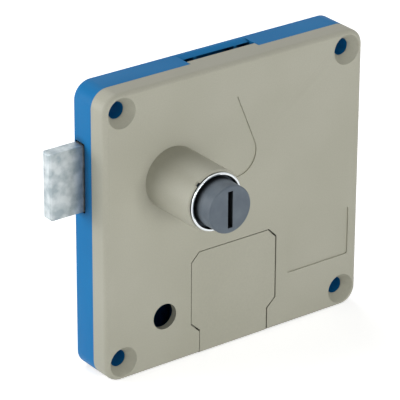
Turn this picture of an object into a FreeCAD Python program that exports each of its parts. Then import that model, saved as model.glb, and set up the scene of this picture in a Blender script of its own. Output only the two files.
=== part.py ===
import FreeCAD, Part
import os
import re
import Sketcher

# Coin operated lock for a locker door. X runs to the right, Y to the rear and Z up, in millimetres.
# The origin is the middle of the four fixing holes, on the face that lies against the door.

os.makedirs("parts", exist_ok=True)
doc = FreeCAD.newDocument("coin_operated_lock")

# Driving dimensions: name, value, what it is
SIZES = [
    ("width", 103, "case, side to side"),
    ("height", 100, "case, bottom to top"),
    ("depth", 17.4, "case, door face to back"),
    ("cover_depth", 7.2, "front cover, door face to seam"),
    ("corner_radius", 6, "corners of the case"),
    ("wall", 2.2, "side walls of both halves"),
    ("cover_face", 2.2, "thickness of the cover's face"),
    ("back_wall", 1.5, "thickness of the rear wall"),
    ("front_round", 1.7, "rounding of the cover's front edge"),
    ("back_chamfer", 1, "chamfer of the case's rear edge"),
    ("fix_spacing_x", 89.5, "fixing holes, side to side"),
    ("fix_spacing_z", 87, "fixing holes, bottom to top"),
    ("fix_hole", 2.9, "radius of a fixing hole"),
    ("fix_post", 4.2, "fixing hole's middle to the inner sides of its corner block"),
    ("fix_mouth", 5.2, "radius of a fixing hole's countersink"),
    ("fix_mouth_depth", 3.4, "depth of the countersink"),
    ("lock_x", -25.3, "cylinder axis"),
    ("lock_z", 16.8, "cylinder axis"),
    ("boss_radius", 10.6, "boss round the cylinder"),
    ("boss_length", 22.4, "how far the boss stands out"),
    ("boss_foot", 0.6, "bevel at the boss's foot"),
    ("boss_rim", 0.4, "bevel at the boss's front end"),
    ("key_mark", 1.4, "locating notch in the boss's rim, across"),
    ("key_mark_angle", -42, "locating notch, in degrees from the top"),
    ("tube_radius", 8.25, "cylinder housing's tube"),
    ("tube_rear", 5.4, "door face to the tube's rear end"),
    ("ring_radius", 9.6, "chromed ring at the tube's front end"),
    ("ring_sunk", 0.8, "how deep the ring sits in the boss"),
    ("ring_proud", 1, "how far the ring stands out of the boss"),
    ("ring_mouth", 8.7, "radius of the ring's inner mouth"),
    ("ring_floor", 0.4, "thickness left under the mouth"),
    ("ring_edge", 0.35, "chamfer of the ring and of the plug's head"),
    ("plug_radius", 7.75, "plug's head"),
    ("plug_proud", 6.9, "how far the head stands out of the ring"),
    ("shank_radius", 6, "plug's shank in the housing"),
    ("key_length", 12.4, "key slot, end to end"),
    ("key_width", 1.8, "key slot, across"),
    ("key_mouth", 6, "depth of the key slot's full length"),
    ("key_blade", 8.7, "key slot behind its mouth, end to end"),
    ("key_depth", 22, "key slot, front to end"),
    ("tail_width", 5, "plug's square tail, across the flats"),
    ("nut_flats", 21, "cylinder nut, across the flats"),
    ("nut_height", 2.6, "cylinder nut"),
    ("key_turn", 90, "turn of the key, in degrees"),
    ("bolt_travel", 12.7, "travel of the bolt"),
    ("bolt_front", 11.5, "door face to the bolt's front face"),
    ("bolt_thick", 4.2, "bolt, front to back"),
    ("bolt_height", 22.9, "bolt, bottom to top"),
    ("bolt_out", 12.7, "how far the bolt stands out when locked"),
    ("bolt_middle", 18.85, "height of the bolt's middle"),
    ("bolt_chamfer", 0.5, "chamfer round the bolt's tip"),
    ("bolt_web", 1.2, "metal left between the bolt's slot and its inner end"),
    ("bolt_gap", 0.5, "gap round the bolt in the left wall"),
    ("slot_play", 0.3, "room past a pin at the ends of its slot"),
    ("notch_play", 0.25, "room beside the gate lever's pin in its notch"),
    ("crank_pin", 1.6, "radius of the crank's pin"),
    ("crank_rim", 1, "metal round the crank's pin"),
    ("crank_front", 7.9, "door face to the crank's arm"),
    ("crank_thick", 2.3, "crank's arm, front to back"),
    ("crank_hub", 4.6, "radius of the crank's hub"),
    ("stop_reach", 8, "radius that the crank's stop reaches"),
    ("stop_width", 3.2, "crank's stop, across"),
    ("pin_short", 0.7, "bolt's back to the ends of the pins that drive it"),
    ("gate_x", -25, "gate lever's pivot"),
    ("gate_z", -6, "gate lever's pivot"),
    ("gate_arm", 15, "gate lever, pivot to its pin"),
    ("gate_toe", 22.2, "gate lever, pivot to its toe"),
    ("gate_bend", 155, "angle between the gate lever's arms"),
    ("gate_front", 9.6, "door face to the gate lever"),
    ("gate_thick", 1.5, "gate lever, front to back"),
    ("gate_pin_radius", 1.3, "pin of the gate lever"),
    ("gate_width", 4.2, "gate lever's arms, across"),
    ("pivot_radius", 1.5, "pivot pins of both levers"),
    ("pivot_post", 3.5, "posts under both levers, half their width"),
    ("hub_wall", 1.8, "metal round both levers' pivots"),
    ("clip_out", 1.4, "retaining clips, past the pin"),
    ("clip_thick", 0.4, "retaining clips"),
    ("clip_gap", 0.5, "pin's front end past its clip"),
    ("coin_slot_x", 0.5, "middle of the coin slot"),
    ("coin_slot_length", 27.2, "coin slot, end to end"),
    ("coin_gap", 2.7, "coin slot, front to back"),
    ("coin_front", 9.4, "door face to the coin slot"),
    ("slot_funnel", 2.3, "lead-in behind the coin slot"),
    ("rail_thick", 1.6, "rails of the bolt and walls of the coin channel"),
    ("rail_end", 4.6, "end of the lower rail, left of the gate lever's notch"),
    ("rail_short", 2, "end of the upper rail, left of the coin channel"),
    ("rib_out", 8, "ribs behind the coin, from the slot's middle"),
    ("rib_thick", 1.2, "ribs behind the coin"),
    ("gate_gap", 5, "gate lever's pivot to the end of the channel's left wall"),
    ("scoop_gap", 1.2, "channel's walls above the scoop"),
    ("small_post", 2.6, "posts of the small screws, half their width"),
    ("guide_thick", 2, "coin guide plate"),
    ("guide_bottom", -12, "lower end of the coin guide's middle"),
    ("guide_out", 4.6, "upper guide screw, left of the channel"),
    ("guide_drop", 10, "upper guide screw, below the case's top"),
    ("guide_foot_x", 20.5, "lower guide screw"),
    ("guide_foot_z", -30.4, "lower guide screw"),
    ("guide_foot_left", 4.1, "guide's foot, right of the slot's middle"),
    ("guide_ear", 3.2, "guide's ears, half their width"),
    ("nose_notch", 2.8, "guide's notch for the lever's nose, into the channel"),
    ("peg_out", 8, "coin peg, right of the slot's middle"),
    ("peg_drop", 13, "coin peg, below the gate lever's pivot"),
    ("peg_end", 0.4, "coin peg's front end, behind the guide's front"),
    ("lever_x", 22, "coin lever's pivot"),
    ("lever_z", -22, "coin lever's pivot"),
    ("lever_front", 5.9, "door face to the coin lever"),
    ("lever_thick", 1.2, "coin lever"),
    ("lever_width", 5, "coin lever's arms, across"),
    ("nose_rise", 16, "coin lever, pivot to nose"),
    ("nose_in", 0.5, "how far the nose reaches into the channel"),
    ("nose_deep", 2, "how far the nose goes past the channel's front"),
    ("nose_gap", 6, "gap in the channel's wall for the nose, half its height"),
    ("knee_rise", 1.7, "coin lever's long arm, above the bolt"),
    ("knee_shift", 4.3, "coin lever's knee, left of its pivot"),
    ("tooth_out", 6.4, "coin lever's tooth, right of the cylinder axis"),
    ("tooth_up", 10, "tip of the tooth, above the cylinder axis"),
    ("tooth_half", 1.5, "tip of the tooth, half its width"),
    ("tooth_slope", 3, "how far the tooth's flank leans"),
    ("hatch_half", 17.2, "coin hatch, half its width"),
    ("hatch_tail", 13.8, "coin hatch, half its tail's width"),
    ("hatch_x", -0.5, "middle of the coin hatch"),
    ("hatch_top", -12.8, "upper edge of the coin hatch"),
    ("hatch_step", -38.3, "where the lower chamfers of the hatch start"),
    ("hatch_corner", 3.2, "corner chamfers of the hatch"),
    ("hatch_sunk", 0.6, "how deep the hatch lies under the cover's face"),
    ("hatch_gap", 0.25, "gap round the hatch"),
    ("hatch_ledge", 1.6, "ledge behind the hatch"),
    ("hatch_border", 2, "ledge's outer side, past the hatch"),
    ("hatch_window", 1.6, "window behind the hatch, drawn in from its outline"),
    ("hatch_rim", 1.2, "rim that stands in the window"),
    ("service_x", -28.4, "service hole"),
    ("service_z", -32, "service hole"),
    ("service_hole", 4.5, "radius of the service hole"),
    ("service_collar", 1.4, "collar behind the service hole"),
    ("panel_width", 25.8, "plain recessed panel"),
    ("panel_height", 17.5, "plain recessed panel"),
    ("panel_x", 34.4, "middle of the panel"),
    ("panel_z", -22.2, "middle of the panel"),
    ("panel_corner", 1, "rounding of the panel's corners"),
    ("panel_sunk", 0.5, "depth of the panel and of the drop mark"),
    ("drop_x", 0.3, "drop-shaped mark beside the boss"),
    ("drop_z", 17.6, "middle of the mark's round end"),
    ("drop_radius", 7.8, "round end of the mark"),
    ("drop_height", 20.6, "middle of the round end to the tip"),
    ("scoop_radius", 12.8, "return scoop, inside"),
    ("scoop_thick", 1.4, "return scoop"),
    ("scoop_width", 32, "return scoop, side to side"),
    ("scoop_top", -31.4, "upper edge of the return scoop"),
    ("scoop_behind", 0.8, "middle of the scoop's curve, behind the case"),
    ("screw_x", 33, "case screws"),
    ("screw_z", 42.5, "case screws"),
    ("screw_shank", 1.45, "radius of a case screw"),
    ("screw_boss", 1.6, "cover's bosses, past a case screw"),
    ("screw_head", 2.8, "radius of a case screw's head"),
    ("screw_head_height", 1.6, "case screw's head"),
    ("screw_sunk", 0.4, "case screw's head, under the rear face"),
    ("screw_post", 1.2, "rear posts, past a case screw's head"),
    ("screw_end", 0.7, "case screw's end to the bottom of its hole"),
    ("screw_floor", 0.6, "cover's face to the bottom of a case screw's hole"),
    ("small_shank", 1, "radius of the small screws"),
    ("small_head", 2.1, "radius of the small screws' heads"),
    ("small_head_height", 1.1, "small screws' heads"),
    ("small_length", 4.5, "how deep the small screws go"),
    ("crank_screw_head", 3.3, "radius of the crank screw's head"),
    ("spring_post", 1.2, "post that holds the spring's fixed leg, half its width"),
    ("coil_radius", 2.2, "lever spring, middle of the wire"),
    ("wire_radius", 0.25, "lever spring's wire"),
    ("coil_turns", 3, "lever spring"),
    ("hook_rise", 7.9, "lever spring, from the coil's middle up to its hook"),
    ("spring_reach", 8, "lever spring, from the coil's middle to the case's post"),
    ("strap_inset", 8.5, "bolt strap's middle, in from the case's left side"),
    ("strap_reach", 4.7, "strap's screws, above and below the bolt"),
    ("strap_end", 3.2, "strap's screws to its ends"),
    ("strap_thick", 1.4, "bolt strap"),
    ("strap_width", 8, "bolt strap"),
    ("strap_corner", 1.5, "chamfers of the strap's corners"),
    ("clearance", 0.2, "between pieces that pass each other"),
    ("running", 0.05, "radial play of pins and shafts in their holes"),
    ("root", 0.2, "how far the parts of one solid run into each other"),
    ("over", 1, "how far a cut starts and ends outside"),
]

# Places and sizes that follow from the driving dimensions
DERIVED = {
    "back_inner": "depth - back_wall",
    "bolt_back": "bolt_front + bolt_thick",
    "bolt_low": "bolt_middle - bolt_height / 2",
    "bolt_high": "bolt_middle + bolt_height / 2",
    "bolt_tip": "-width / 2 - bolt_out",
    "rail_front": "bolt_front - clearance",
    "rail_high": "bolt_high + clearance + rail_thick",
    "rail_low": "bolt_low - clearance - rail_thick",
    "crank_radius": "bolt_travel / 2 / sin(key_turn / 2)",
    "crank_back": "crank_front + crank_thick",
    "crank_play": "0.03 * crank_radius + 0.13",
    "bolt_slot_x": "lock_x - bolt_travel / 2",
    "bolt_slot_low": "lock_z + crank_radius * cos(key_turn / 2) - crank_pin - slot_play",
    "bolt_slot_high": "lock_z + crank_radius + crank_pin + slot_play",
    "bolt_slot_half": "crank_pin + crank_play",
    "bolt_end": "bolt_slot_x + bolt_slot_half + bolt_web",
    "gate_angle": "asin(bolt_travel / 2 / gate_arm)",
    "gate_notch_x": "gate_x - bolt_travel / 2",
    "gate_notch_half": "gate_pin_radius + notch_play",
    "gate_notch_top": "gate_z + gate_arm + gate_pin_radius + slot_play",
    "gate_back": "gate_front + gate_thick",
    "gate_clip_y": "gate_front - clearance - clip_thick",
    "tube_front": "-boss_length - ring_proud",
    "plug_front": "tube_front - plug_proud",
    "ring_seat": "-boss_length + ring_sunk",
    "head_back": "ring_seat - ring_floor - clearance",
    "hub_front": "tube_rear + clearance",
    "coin_back": "coin_front + coin_gap",
    "coin_left": "coin_slot_x - coin_slot_length / 2",
    "coin_right": "coin_slot_x + coin_slot_length / 2",
    "guide_front": "coin_front - guide_thick",
    "lever_back": "lever_front + lever_thick",
    "nose_z": "lever_z + nose_rise",
    "coil_front": "lever_front - clearance - 2 * wire_radius * coil_turns",
    "lever_clip_y": "coil_front - clearance - clip_thick",
    "hatch_face": "cover_face - hatch_sunk",
    "scoop_y": "depth + scoop_behind",
    "scoop_left": "coin_slot_x - scoop_width / 2",
    "scoop_right": "coin_slot_x + scoop_width / 2",
    "head_seat": "depth - screw_sunk - screw_head_height",
}

# The sheet holds the driving dimensions as plain numbers
sheet = doc.addObject("Spreadsheet::Sheet", "dims")
for row, (name, value, note) in enumerate(SIZES, start=1):
    sheet.set(f"A{row}", name)
    sheet.set(f"B{row}", str(value))
    sheet.set(f"C{row}", note)
    sheet.setAlias(f"B{row}", name)
doc.recompute()
DRIVING = {name for name, value, note in SIZES}


def bound(expression):
    """Write out an expression in the sheet's own names."""
    def full(match):
        word = match[0]
        if word in DERIVED:
            return "(" + bound(DERIVED[word]) + ")"
        return "dims." + word if word in DRIVING else word
    return re.sub(r"[a-z][a-z_]*", full, str(expression))


def number(expression):
    value = sheet.evalExpression(bound(expression))
    return float(getattr(value, "Value", value))


def piece(label, x=0, y=0, z=0, turn=0):
    """A body of its own, moved to its place and turned about the Y direction."""
    body = doc.addObject("PartDesign::Body", label)
    body.Label = label
    body.Placement = FreeCAD.Placement(FreeCAD.Vector(), FreeCAD.Rotation(FreeCAD.Vector(0, 1, 0), 1))
    body.setExpression("Placement.Rotation.Angle", bound(turn))
    for axis, place in (("x", x), ("y", y), ("z", z)):
        body.setExpression(f"Placement.Base.{axis}", bound(place))
    return body


def sketch_on(body, role, offset):
    sketch = body.newObject("Sketcher::SketchObject", "profile")
    plane = [part for part in body.Origin.OriginFeatures if part.Role == role][0]
    sketch.AttachmentSupport = [(plane, "")]
    sketch.MapMode = "FlatFace"
    sketch.setExpression("AttachmentOffset.Base.z", bound(offset))
    return sketch


def front_view(body, y):
    """A sketch seen from the front: its axes are X and Z, and it lies at the depth y."""
    return sketch_on(body, "XZ_Plane", f"-({y})")


def side_view(body, x):
    """A sketch seen from the side: its axes are Y and Z."""
    return sketch_on(body, "YZ_Plane", x)


def half_section(body):
    """A sketch for turned pieces: its axes are the radius and Y."""
    return sketch_on(body, "XY_Plane", 0)


def tie(sketch, kind, geometry, point, expression):
    index = sketch.addConstraint(Sketcher.Constraint(kind, -1, 1, geometry, point, number(expression)))
    sketch.setExpression(f"Constraints[{index}]", bound(expression))


def loop(sketch, corners):
    """A closed outline through corners, each tied to its two expressions."""
    spots = [FreeCAD.Vector(number(across), number(up), 0) for across, up in corners]
    count = len(spots)
    lines = [sketch.addGeometry(Part.LineSegment(spots[i], spots[(i + 1) % count])) for i in range(count)]
    for i in range(count):
        sketch.addConstraint(Sketcher.Constraint("Coincident", lines[i], 2, lines[(i + 1) % count], 1))
    for line, (across, up) in zip(lines, corners):
        tie(sketch, "DistanceX", line, 1, across)
        tie(sketch, "DistanceY", line, 1, up)


def box(sketch, left, right, low, high):
    loop(sketch, [(left, low), (right, low), (right, high), (left, high)])


def square(sketch, x, z, half):
    box(sketch, f"{x} - ({half})", f"{x} + {half}", f"{z} - ({half})", f"{z} + {half}")


def circle(sketch, x, z, radius):
    middle = FreeCAD.Vector(number(x), number(z), 0)
    ring = sketch.addGeometry(Part.Circle(middle, FreeCAD.Vector(0, 0, 1), number(radius)))
    tie(sketch, "DistanceX", ring, 3, x)
    tie(sketch, "DistanceY", ring, 3, z)
    index = sketch.addConstraint(Sketcher.Constraint("Radius", ring, number(radius)))
    sketch.setExpression(f"Constraints[{index}]", bound(radius))


def bar(sketch, angle, start, end, width, x=0, z=0):
    """A straight arm that leaves x, z at an angle from straight up, clockwise."""
    def spot(reach, side):
        return (f"{x} + ({reach}) * sin({angle}) + ({side}) * cos({angle})",
                f"{z} + ({reach}) * cos({angle}) - ({side}) * sin({angle})")
    half = f"({width}) / 2"
    loop(sketch, [spot(start, f"-{half}"), spot(start, half), spot(end, half), spot(end, f"-{half}")])


def add(body, sketch, length, way="rear"):
    feature = body.newObject("PartDesign::Pad", "pad")
    feature.Profile = sketch
    feature.setExpression("Length", bound(length))
    feature.Reversed = way == "rear"
    doc.recompute()


def cut(body, sketch, length, way="rear"):
    """A pocket, which has to take something away."""
    before = body.Shape.Volume
    feature = body.newObject("PartDesign::Pocket", "pocket")
    feature.Profile = sketch
    feature.setExpression("Length", bound(length))
    feature.Reversed = way != "rear"
    doc.recompute()
    if body.Shape.Volume > before - 1e-3:
        raise ValueError(f"a pocket of {body.Label} cuts nothing")


def turned(body, sketch):
    feature = body.newObject("PartDesign::Revolution", "turned")
    feature.Profile = sketch
    feature.ReferenceAxis = (sketch, ["V_Axis"])
    feature.Angle = 360
    doc.recompute()


def is_circle(edge, radius):
    return isinstance(edge.Curve, Part.Circle) and abs(edge.Curve.Radius - radius) < 1e-4


def soften(body, kind, size, wanted):
    """A fillet or chamfer on the edges that wanted picks."""
    base = body.Tip
    names = [f"Edge{i}" for i, edge in enumerate(body.Shape.Edges, start=1) if wanted(edge)]
    if not names:
        raise ValueError(f"{body.Label} has no such edge")
    feature = body.newObject(f"PartDesign::{kind}", kind.lower())
    feature.Base = (base, names)
    feature.setExpression("Radius" if kind == "Fillet" else "Size", bound(size))
    doc.recompute()
    return feature


def along(axis):
    """Picks straight edges that run along one axis."""
    def wanted(edge):
        run = edge.Vertexes[-1].Point - edge.Vertexes[0].Point
        return run.Length > 1e-6 and abs(abs(getattr(run, axis)) - run.Length) < 1e-6
    return wanted


def lies_at(edge, axis, place):
    box_of = edge.BoundBox
    low, high = getattr(box_of, axis + "Min"), getattr(box_of, axis + "Max")
    return abs(low - place) < 1e-4 and abs(high - place) < 1e-4


def corner_of(x, z, half_x, half_z):
    """Picks the four edges along Y at the corners of a rectangle."""
    middle_x, middle_z, reach_x, reach_z = (number(value) for value in (x, z, half_x, half_z))

    def wanted(edge):
        spot = edge.BoundBox.Center
        return (along("y")(edge) and abs(abs(spot.x - middle_x) - reach_x) < 1e-4
                and abs(abs(spot.z - middle_z) - reach_z) < 1e-4)
    return wanted


FIXINGS = [(f"{sx} * fix_spacing_x / 2", f"{sz} * fix_spacing_z / 2") for sx in (-1, 1) for sz in (-1, 1)]
CASE_SCREWS = [("-screw_x", "screw_z"), ("screw_x", "-screw_z")]
STRAP_X = "-width / 2 + strap_inset"
STRAP_SCREWS = [(STRAP_X, "bolt_high + strap_reach"), (STRAP_X, "bolt_low - strap_reach")]
GUIDE_SCREWS = [("coin_left - guide_out", "height / 2 - guide_drop"), ("guide_foot_x", "guide_foot_z")]
PEG = ("coin_slot_x + peg_out", "gate_z - peg_drop")
SPRING_POST = ("lever_x + spring_reach", "lever_z + coil_radius - wire_radius - spring_post - running")
WALL_X, WALL_Z = "(width / 2 - wall + root)", "(height / 2 - wall + root)"


def rounded_plate(body, y, inset, length):
    """A plate with the case's outline, drawn in by inset."""
    sketch = front_view(body, y)
    half_x, half_z = f"width / 2 - {inset}", f"height / 2 - {inset}"
    box(sketch, f"-({half_x})", half_x, f"-({half_z})", half_z)
    add(body, sketch, length)
    soften(body, "Fillet", f"corner_radius - {inset}", corner_of(0, 0, half_x, half_z))


def rounded_hollow(body, y, length, way):
    """The room inside the walls, cut from the seam to the front or to the rear."""
    sketch = front_view(body, y)
    half_x, half_z = "width / 2 - wall", "height / 2 - wall"
    box(sketch, f"-({half_x})", half_x, f"-({half_z})", half_z)
    cut(body, sketch, length, way)
    soften(body, "Fillet", "corner_radius - wall", corner_of(0, 0, half_x, half_z))


def block(body, y, left, right, low, high, end):
    """A block from the depth y to the depth end."""
    sketch = front_view(body, y)
    box(sketch, left, right, low, high)
    add(body, sketch, f"{end} - ({y})")


def posts(body, y, places, half, end):
    """Square posts from the depth y to the depth end."""
    sketch = front_view(body, y)
    for x, z in places:
        square(sketch, x, z, half)
    add(body, sketch, f"{end} - ({y})")


def holes(body, y, places, radius, end):
    """Round holes from the depth y to the depth end."""
    sketch = front_view(body, y)
    for x, z in places:
        circle(sketch, x, z, radius)
    cut(body, sketch, f"{end} - ({y})")


def corner_blocks(body, y, reach, end):
    """A block in each corner, from reach inside its fixing hole to the walls."""
    for sx in (-1, 1):
        for sz in (-1, 1):
            block(body, y, f"{sx} * (fix_spacing_x / 2 - ({reach}))", f"{sx} * {WALL_X}",
                  f"{sz} * (fix_spacing_z / 2 - ({reach}))", f"{sz} * {WALL_Z}", end)


def screw_blocks(body, y, half, end):
    """A block round each case screw, from its inner side to the wall."""
    for x, z in CASE_SCREWS:
        way = "-" if z.startswith("-") else ""
        block(body, y, f"{x} - ({half})", f"{x} + {half}", f"{way}(screw_z - ({half}))", f"{way}{WALL_Z}", end)


def rear_case():
    """Blue moulded rear half: shell, posts, rails, coin channel and the slots in its walls."""
    body = piece("rear_case")
    rounded_plate(body, "cover_depth", 0, "depth - cover_depth")
    back = number("depth")
    soften(body, "Chamfer", "back_chamfer", lambda edge: lies_at(edge, "Y", back))
    rounded_hollow(body, "cover_depth", "back_inner - cover_depth", "rear")

    # Posts that stand on the rear wall
    floor = "back_inner + root"
    corner_blocks(body, "cover_depth", "fix_post", floor)
    screw_blocks(body, "cover_depth", "screw_head + screw_post", floor)
    posts(body, "gate_back + clearance", [("gate_x", "gate_z")], "pivot_post", floor)
    posts(body, "lever_back + clearance", [("lever_x", "lever_z")], "pivot_post", floor)
    posts(body, "coin_back", [PEG], "pivot_radius + crank_rim", floor)
    posts(body, "coin_front", GUIDE_SCREWS, "small_post", floor)
    posts(body, "coil_front - 3 * clearance", [SPRING_POST], "spring_post", floor)

    # Rails above and below the bolt, with the strap's posts at their left ends
    side = f"-{WALL_X}"
    block(body, "rail_front", side, "coin_left - rail_thick - rail_short", "bolt_high + clearance",
          "rail_high", floor)
    block(body, "rail_front", side, "gate_notch_x - rail_end", "rail_low", "bolt_low - clearance", floor)
    block(body, "rail_front", side, f"{STRAP_X} + small_post", "rail_high - root",
          "bolt_high + strap_reach + small_post", floor)
    block(body, "rail_front", side, f"{STRAP_X} + small_post", "bolt_low - strap_reach - small_post",
          "rail_low + root", floor)

    # Walls of the coin channel, open for the gate lever's toe and the coin lever's nose, and its ribs
    foot = "scoop_top + scoop_gap"
    block(body, "coin_front", "coin_left - rail_thick", "coin_left", "gate_z - gate_gap", WALL_Z, floor)
    for low, high in (("nose_z + nose_gap", WALL_Z), (foot, "nose_z - nose_gap")):
        block(body, "coin_front", "coin_right", "coin_right + rail_thick", low, high, floor)
    for way in "-+":
        rib = f"coin_slot_x {way} rib_out"
        block(body, "coin_back", f"{rib} - rib_thick / 2", f"{rib} + rib_thick / 2", foot, WALL_Z, floor)

    # Coin slot: a notch in the top wall, which the cover's tab closes in front, and its lead-in
    sketch = front_view(body, "cover_depth - over")
    box(sketch, "coin_left", "coin_right", "height / 2 - wall - root", "height / 2 + over")
    cut(body, sketch, "coin_back - cover_depth + over")
    sketch = side_view(body, "coin_left")
    loop(sketch, [("coin_back - root", "height / 2 - slot_funnel"), ("coin_back", "height / 2 - slot_funnel"),
                  ("coin_back + slot_funnel", "height / 2"), ("coin_back + slot_funnel", "height / 2 + over"),
                  ("coin_back - root", "height / 2 + over")])
    cut(body, sketch, "coin_slot_length", "right")

    # Slot for the bolt in the left wall
    sketch = front_view(body, "bolt_front - bolt_gap")
    box(sketch, "-width / 2 - over", "-width / 2 + wall + root", "bolt_low - bolt_gap", "bolt_high + bolt_gap")
    cut(body, sketch, "back_inner - bolt_front + bolt_gap")

    # Coin return window in the rear wall
    sketch = front_view(body, "back_inner - root")
    box(sketch, "scoop_left + scoop_thick", "scoop_right - scoop_thick", "scoop_top - scoop_radius",
        "scoop_top + over")
    cut(body, sketch, "back_wall + over")

    # Holes along the posts
    holes(body, "cover_depth - over", FIXINGS, "fix_hole", "depth + over")
    holes(body, "cover_depth - over", CASE_SCREWS, "screw_shank + clearance", "depth + over")
    holes(body, "head_seat", CASE_SCREWS, "screw_head + clearance", "depth + over")
    small = "small_shank + running"
    holes(body, "rail_front - over", STRAP_SCREWS, small, "rail_front - strap_thick + small_length")
    holes(body, "coin_front - over", GUIDE_SCREWS, small, "guide_front + small_length + clearance")
    pin = "pivot_radius + running"
    holes(body, "gate_back", [("gate_x", "gate_z")], pin, "back_inner")
    holes(body, "lever_back", [("lever_x", "lever_z")], pin, "back_inner")
    holes(body, "coin_back - over", [PEG], pin, "back_inner")


def hatch_outline(sketch, gap, bottom):
    """Outline of the coin hatch, widened by gap, with its tail down to bottom."""
    half, tail = f"(hatch_half + {gap})", f"(hatch_tail + {gap})"
    top, step = f"(hatch_top + {gap})", f"(hatch_step - {gap} * 0.4)"
    right = [(f"hatch_x + {tail}", bottom), (f"hatch_x + {tail}", f"{step} - hatch_corner"),
             (f"hatch_x + {half}", step), (f"hatch_x + {half}", f"{top} - hatch_corner"),
             (f"hatch_x + {half} - hatch_corner", top)]
    left = [(across.replace("hatch_x + ", "hatch_x - ").replace("- hatch_corner", "+ hatch_corner"), up)
            for across, up in reversed(right)]
    loop(sketch, right + left)


def front_cover():
    """Grey-beige moulded front half: shell, boss, hatch seat, panels, fixing holes and coin tab."""
    body = piece("front_cover")
    rounded_plate(body, 0, 0, "cover_depth")
    soften(body, "Fillet", "front_round", lambda edge: lies_at(edge, "Y", 0))
    rounded_hollow(body, "cover_depth", "cover_depth - cover_face", "front")

    # Boss round the cylinder, with bevels at its foot and rim
    lock = [("lock_x", "lock_z")]
    sketch = front_view(body, "root")
    circle(sketch, *lock[0], "boss_radius")
    add(body, sketch, "boss_length + root", "front")
    radius, tip = number("boss_radius"), number("-boss_length")
    soften(body, "Chamfer", "boss_foot", lambda edge: lies_at(edge, "Y", 0) and is_circle(edge, radius))
    soften(body, "Chamfer", "boss_rim", lambda edge: lies_at(edge, "Y", tip) and is_circle(edge, radius))

    # Blocks and collars on the inner face
    inside = "cover_face - root"
    corner_blocks(body, inside, "fix_mouth + root", "cover_depth")
    screw_blocks(body, inside, "screw_shank + screw_boss", "cover_depth")
    posts(body, inside, [("service_x", "service_z")], "service_hole + service_collar", "cover_depth")

    # Seat of the coin hatch: ledge, recess and the window behind it
    sketch = front_view(body, inside)
    hatch_outline(sketch, "hatch_border", "-height / 2 + wall - root")
    add(body, sketch, "hatch_ledge + root")
    sketch = front_view(body, "-over")
    hatch_outline(sketch, "hatch_gap", "-height / 2 - over")
    cut(body, sketch, "cover_face + over")
    sketch = front_view(body, "cover_face - root")
    hatch_outline(sketch, "(-hatch_window)", "-height / 2 + wall + over")
    cut(body, sketch, "hatch_ledge + 2 * root")

    # Plain recessed panel
    half_width, half_height = "panel_width / 2", "panel_height / 2"
    sketch = front_view(body, "-over")
    box(sketch, f"panel_x - {half_width}", f"panel_x + {half_width}", f"panel_z - {half_height}",
        f"panel_z + {half_height}")
    cut(body, sketch, "panel_sunk + over")
    soften(body, "Fillet", "panel_corner", corner_of("panel_x", "panel_z", half_width, half_height))

    # Drop-shaped mark: a round end and the two flanks that run up to its tip
    holes(body, "-over", [("drop_x", "drop_z")], "drop_radius", "panel_sunk")
    rise = "drop_radius * drop_radius / drop_height"
    spread = f"sqrt(drop_radius * drop_radius - ({rise}) * ({rise}))"
    sketch = front_view(body, "-over")
    loop(sketch, [(f"drop_x - {spread}", f"drop_z + {rise}"), (f"drop_x + {spread}", f"drop_z + {rise}"),
                  ("drop_x", "drop_z + drop_height")])
    cut(body, sketch, "panel_sunk + over")

    # Tab in front of the coin slot
    block(body, "cover_depth - root", "coin_left + clearance / 2", "coin_right - clearance / 2",
          "height / 2 - wall", "height / 2", "coin_front")

    # Holes: cylinder bore with its seat, fixings with their countersinks, service hole, case screws
    holes(body, "-boss_length - over", lock, "tube_radius + running", "cover_face + over")
    holes(body, "-boss_length - over", lock, "ring_radius + running", "ring_seat")
    holes(body, "-over", FIXINGS, "fix_hole", "cover_depth + over")
    hole = number("fix_hole")
    mouths = soften(body, "Chamfer", "fix_mouth - fix_hole",
                    lambda edge: lies_at(edge, "Y", 0) and is_circle(edge, hole))
    mouths.ChamferType = "Two distances"
    mouths.setExpression("Size2", bound("fix_mouth_depth"))
    doc.recompute()
    sketch = front_view(body, "-boss_length - over")
    bar(sketch, "key_mark_angle", "ring_radius - root", "boss_radius + over", "key_mark", *lock[0])
    cut(body, sketch, "ring_sunk + over")
    holes(body, "-over", [("service_x", "service_z")], "service_hole", "cover_depth + over")
    holes(body, "cover_face + screw_floor", CASE_SCREWS, "screw_shank + running", "cover_depth + over")


def coin_hatch():
    """Snap-in hatch: a plate in the cover's recess, a rim in its window and a tail down the edge."""
    body = piece("coin_hatch")
    sketch = front_view(body, "hatch_sunk")
    hatch_outline(sketch, "0", "-height / 2")
    add(body, sketch, "hatch_face")
    face, low = number("hatch_sunk"), number("-height / 2")
    soften(body, "Fillet", "front_round - hatch_sunk",
           lambda edge: lies_at(edge, "Y", face) and lies_at(edge, "Z", low))
    for y, inset, length, shape in (("cover_face - root", "hatch_gap", "hatch_ledge", add),
                                    ("cover_face", "hatch_gap + hatch_rim", "hatch_ledge + over", cut)):
        sketch = front_view(body, y)
        hatch_outline(sketch, f"(-hatch_window - ({inset}))", f"-height / 2 + wall + over + {inset}")
        shape(body, sketch, length)


def cylinder_housing():
    """Chromed zinc housing: a tube through the boss with the ring and its mouth at the front."""
    body = piece("cylinder_housing", "lock_x", 0, "lock_z")
    sketch = half_section(body)
    bore, floor = "shank_radius + running", "ring_seat - ring_floor"
    loop(sketch, [(bore, "tube_rear"), (bore, floor), ("ring_mouth", floor), ("ring_mouth", "tube_front"),
                  ("ring_radius - ring_edge", "tube_front"), ("ring_radius", "tube_front + ring_edge"),
                  ("ring_radius", "ring_seat"), ("tube_radius", "ring_seat"), ("tube_radius", "tube_rear")])
    turned(body, sketch)


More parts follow.
